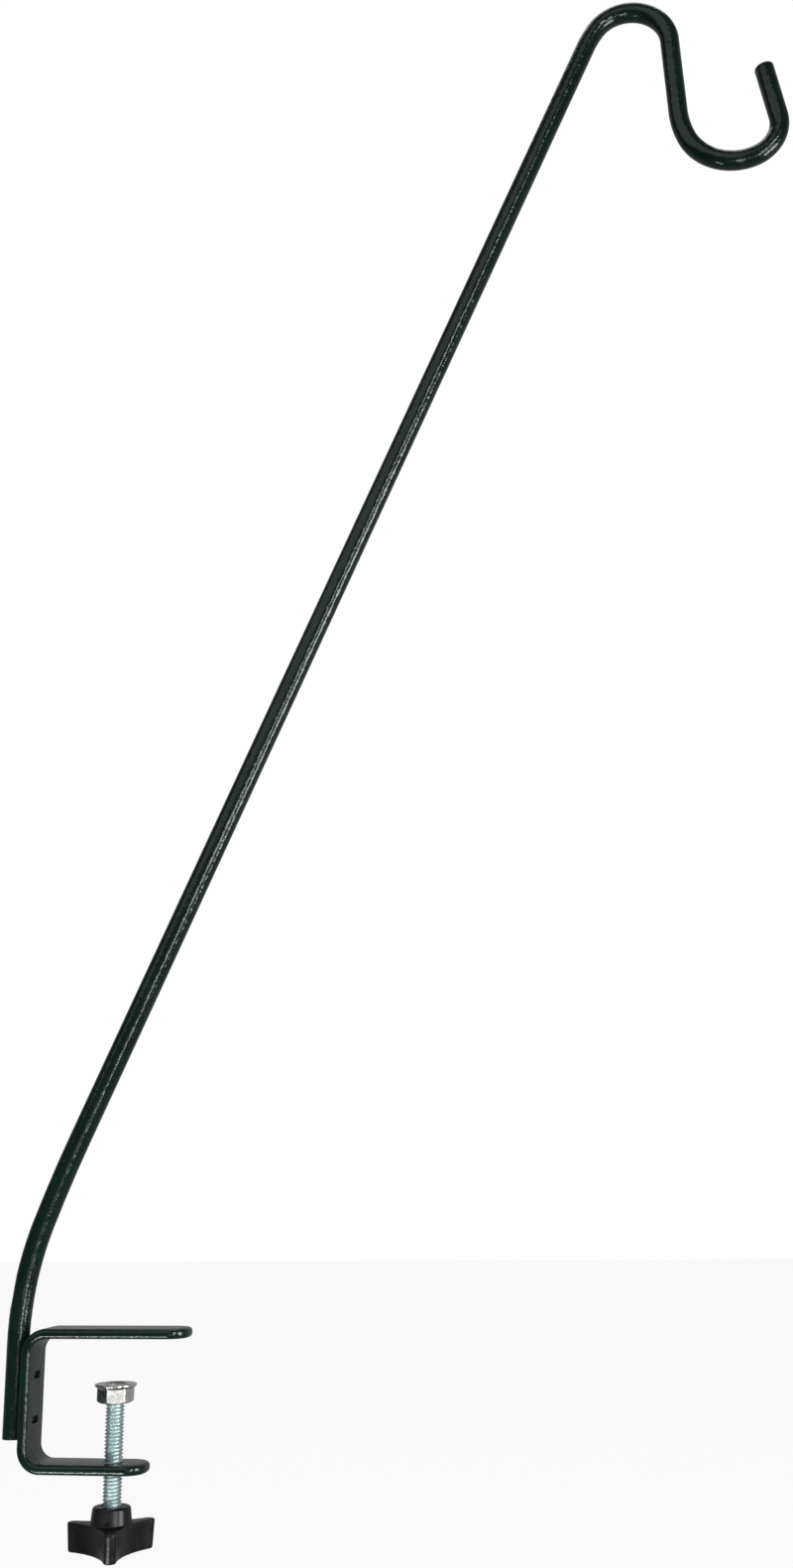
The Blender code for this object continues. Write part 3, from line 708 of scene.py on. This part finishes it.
plastic, plastic_shader = new_material("black_moulded_plastic", colour=(0.004, 0.004, 0.004),
                                       roughness=0.36)
plastic_shader.inputs["IOR"].default_value = PLASTIC_IOR
vary_colour(plastic, plastic_shader, PLASTIC_CLOUDS, PLASTIC_DARK, PLASTIC_LIGHT)
vary_roughness(plastic, plastic_shader, PLASTIC_HAZE, PLASTIC_ROUGHNESS)
add_relief(plastic, plastic_shader, PLASTIC_GRAIN_SCALES, PLASTIC_GRAIN_STRENGTHS, PLASTIC_GRAIN_DEPTH)
finish_piece(knob, "screw", "knob_plastic", plastic, "star_knob")


# Floor, light and camera. A plain white floor and backdrop, narrow strips in front on the right that
# draw the bar's long highlights, softboxes around, and a view from just above the clamp's height.
FLOOR_DROP = 0.16
FLOOR_SIZE = 12.0
FLOOR_GLOW_SHARE = 0.93
FLOOR_FADE = (-0.5, 1.0)
BACKDROP_FADE = (-0.25, 0.75)
ROOM_GLOW = (0.05, 0.32)
WHITE = (1.0, 1.0, 1.0, 1.0)
SENSOR_WIDTH = 36.0
VIEW_LENS = 34.76
VIEW_PLACE = (0.2175, -0.6569, 0.0607)
VIEW_TURN = (104.88, 0.606, 8.405)


def room_strength(tree, place, fade):
    """How bright the room is: white to the camera, and to reflections light behind, dim in front."""
    nodes, links = tree.nodes, tree.links
    parts = nodes.new("ShaderNodeSeparateXYZ")
    links.new(nodes.new("ShaderNodeTexCoord").outputs[place], parts.inputs[0])
    falloff = nodes.new("ShaderNodeMapRange")
    falloff.interpolation_type = "SMOOTHSTEP"
    set_range(falloff, fade, ROOM_GLOW)
    links.new(parts.outputs["Y"], falloff.inputs["Value"])
    rays = nodes.new("ShaderNodeLightPath")
    total = falloff.outputs["Result"]
    for name in ("Is Camera Ray", "Is Transmission Ray"):
        brighter = nodes.new("ShaderNodeMath")
        brighter.operation = "MAXIMUM"
        links.new(total, brighter.inputs[0])
        links.new(rays.outputs[name], brighter.inputs[1])
        total = brighter.outputs[0]
    return total, rays


bpy.ops.object.select_all(action="DESELECT")
bpy.ops.mesh.primitive_plane_add(size=FLOOR_SIZE, location=(0.0, 0.0, LOBE_FOOT_Z - FLOOR_DROP))
floor = bpy.context.object
floor.name = "floor"
floor_paint, floor_shader = new_material("white_floor", colour=(0.9, 0.9, 0.9), roughness=0.6)
floor_tree = floor_paint.node_tree
glow = floor_tree.nodes.new("ShaderNodeEmission")
glow_strength, floor_rays = room_strength(floor_tree, "Object", FLOOR_FADE)
blend = floor_tree.nodes.new("ShaderNodeMixShader")
share = floor_tree.nodes.new("ShaderNodeMath")
share.operation = "MULTIPLY_ADD"
share.inputs[1].default_value = FLOOR_GLOW_SHARE
floor_tree.links.new(glow_strength, glow.inputs["Strength"])
floor_tree.links.new(floor_rays.outputs["Is Camera Ray"], share.inputs[0])
floor_tree.links.new(floor_rays.outputs["Is Glossy Ray"], share.inputs[2])
floor_tree.links.new(share.outputs[0], blend.inputs["Fac"])
floor_tree.links.new(floor_shader.outputs[0], blend.inputs[1])
floor_tree.links.new(glow.outputs[0], blend.inputs[2])
floor_tree.links.new(blend.outputs[0], floor_tree.nodes["Material Output"].inputs["Surface"])
floor.data.materials.append(floor_paint)

world = bpy.data.worlds.new("studio")
bpy.context.scene.world = world
world.use_nodes = True
world_tree = world.node_tree
backdrop = world_tree.nodes["Background"]
backdrop.inputs["Color"].default_value = WHITE
backdrop_strength = room_strength(world_tree, "Generated", BACKDROP_FADE)[0]
world_tree.links.new(backdrop_strength, backdrop.inputs["Strength"])


def add_softbox(name, place, aim, width, height, watts):
    lamp = bpy.data.lights.new(name, "AREA")
    lamp.shape = "RECTANGLE"
    lamp.size = width
    lamp.size_y = height
    lamp.energy = watts
    holder = bpy.data.objects.new(name, lamp)
    bpy.context.scene.collection.objects.link(holder)
    holder.location = place
    holder.visible_camera = False
    holder.rotation_euler = (Vector(aim) - Vector(place)).to_track_quat("-Z", "Y").to_euler()


add_softbox("key_strip", place=(1.17, -1.18, 0.24), aim=(0.1, 0.0, 0.3),
            width=0.08, height=1.6, watts=9.0)
add_softbox("near_strip", place=(0.42, -0.55, 0.0), aim=(0.0, 0.0, 0.08),
            width=0.06, height=0.35, watts=1.1)
add_softbox("side_softbox", place=(1.3, -0.35, -0.05), aim=(0.0, 0.0, -0.03),
            width=0.35, height=0.9, watts=14.0)
add_softbox("front_softbox", place=(0.21, -0.66, -0.12), aim=(0.0, 0.0, -0.022),
            width=0.16, height=0.10, watts=0.09)
add_softbox("upper_softbox", place=(-0.5, -1.4, 1.2), aim=(0.1, 0.0, 0.3),
            width=2.6, height=1.5, watts=9.0)
add_softbox("low_softbox", place=(-0.08, -0.22, -0.205), aim=(-0.01, -0.01, -0.05),
            width=0.17, height=0.03, watts=0.7)
add_softbox("top_softbox", place=(0.1, 0.3, 2.2), aim=(0.1, 0.0, 0.2),
            width=1.4, height=1.4, watts=8.0)

view_data = bpy.data.cameras.new("photo_view")
view_data.lens = VIEW_LENS
view_data.sensor_width = SENSOR_WIDTH
view_data.sensor_fit = "AUTO"
view = bpy.data.objects.new("photo_view", view_data)
bpy.context.scene.collection.objects.link(view)
view.location = VIEW_PLACE
view.rotation_euler = [math.radians(angle) for angle in VIEW_TURN]
bpy.context.scene.camera = view
bpy.context.scene.view_settings.view_transform = "Standard"
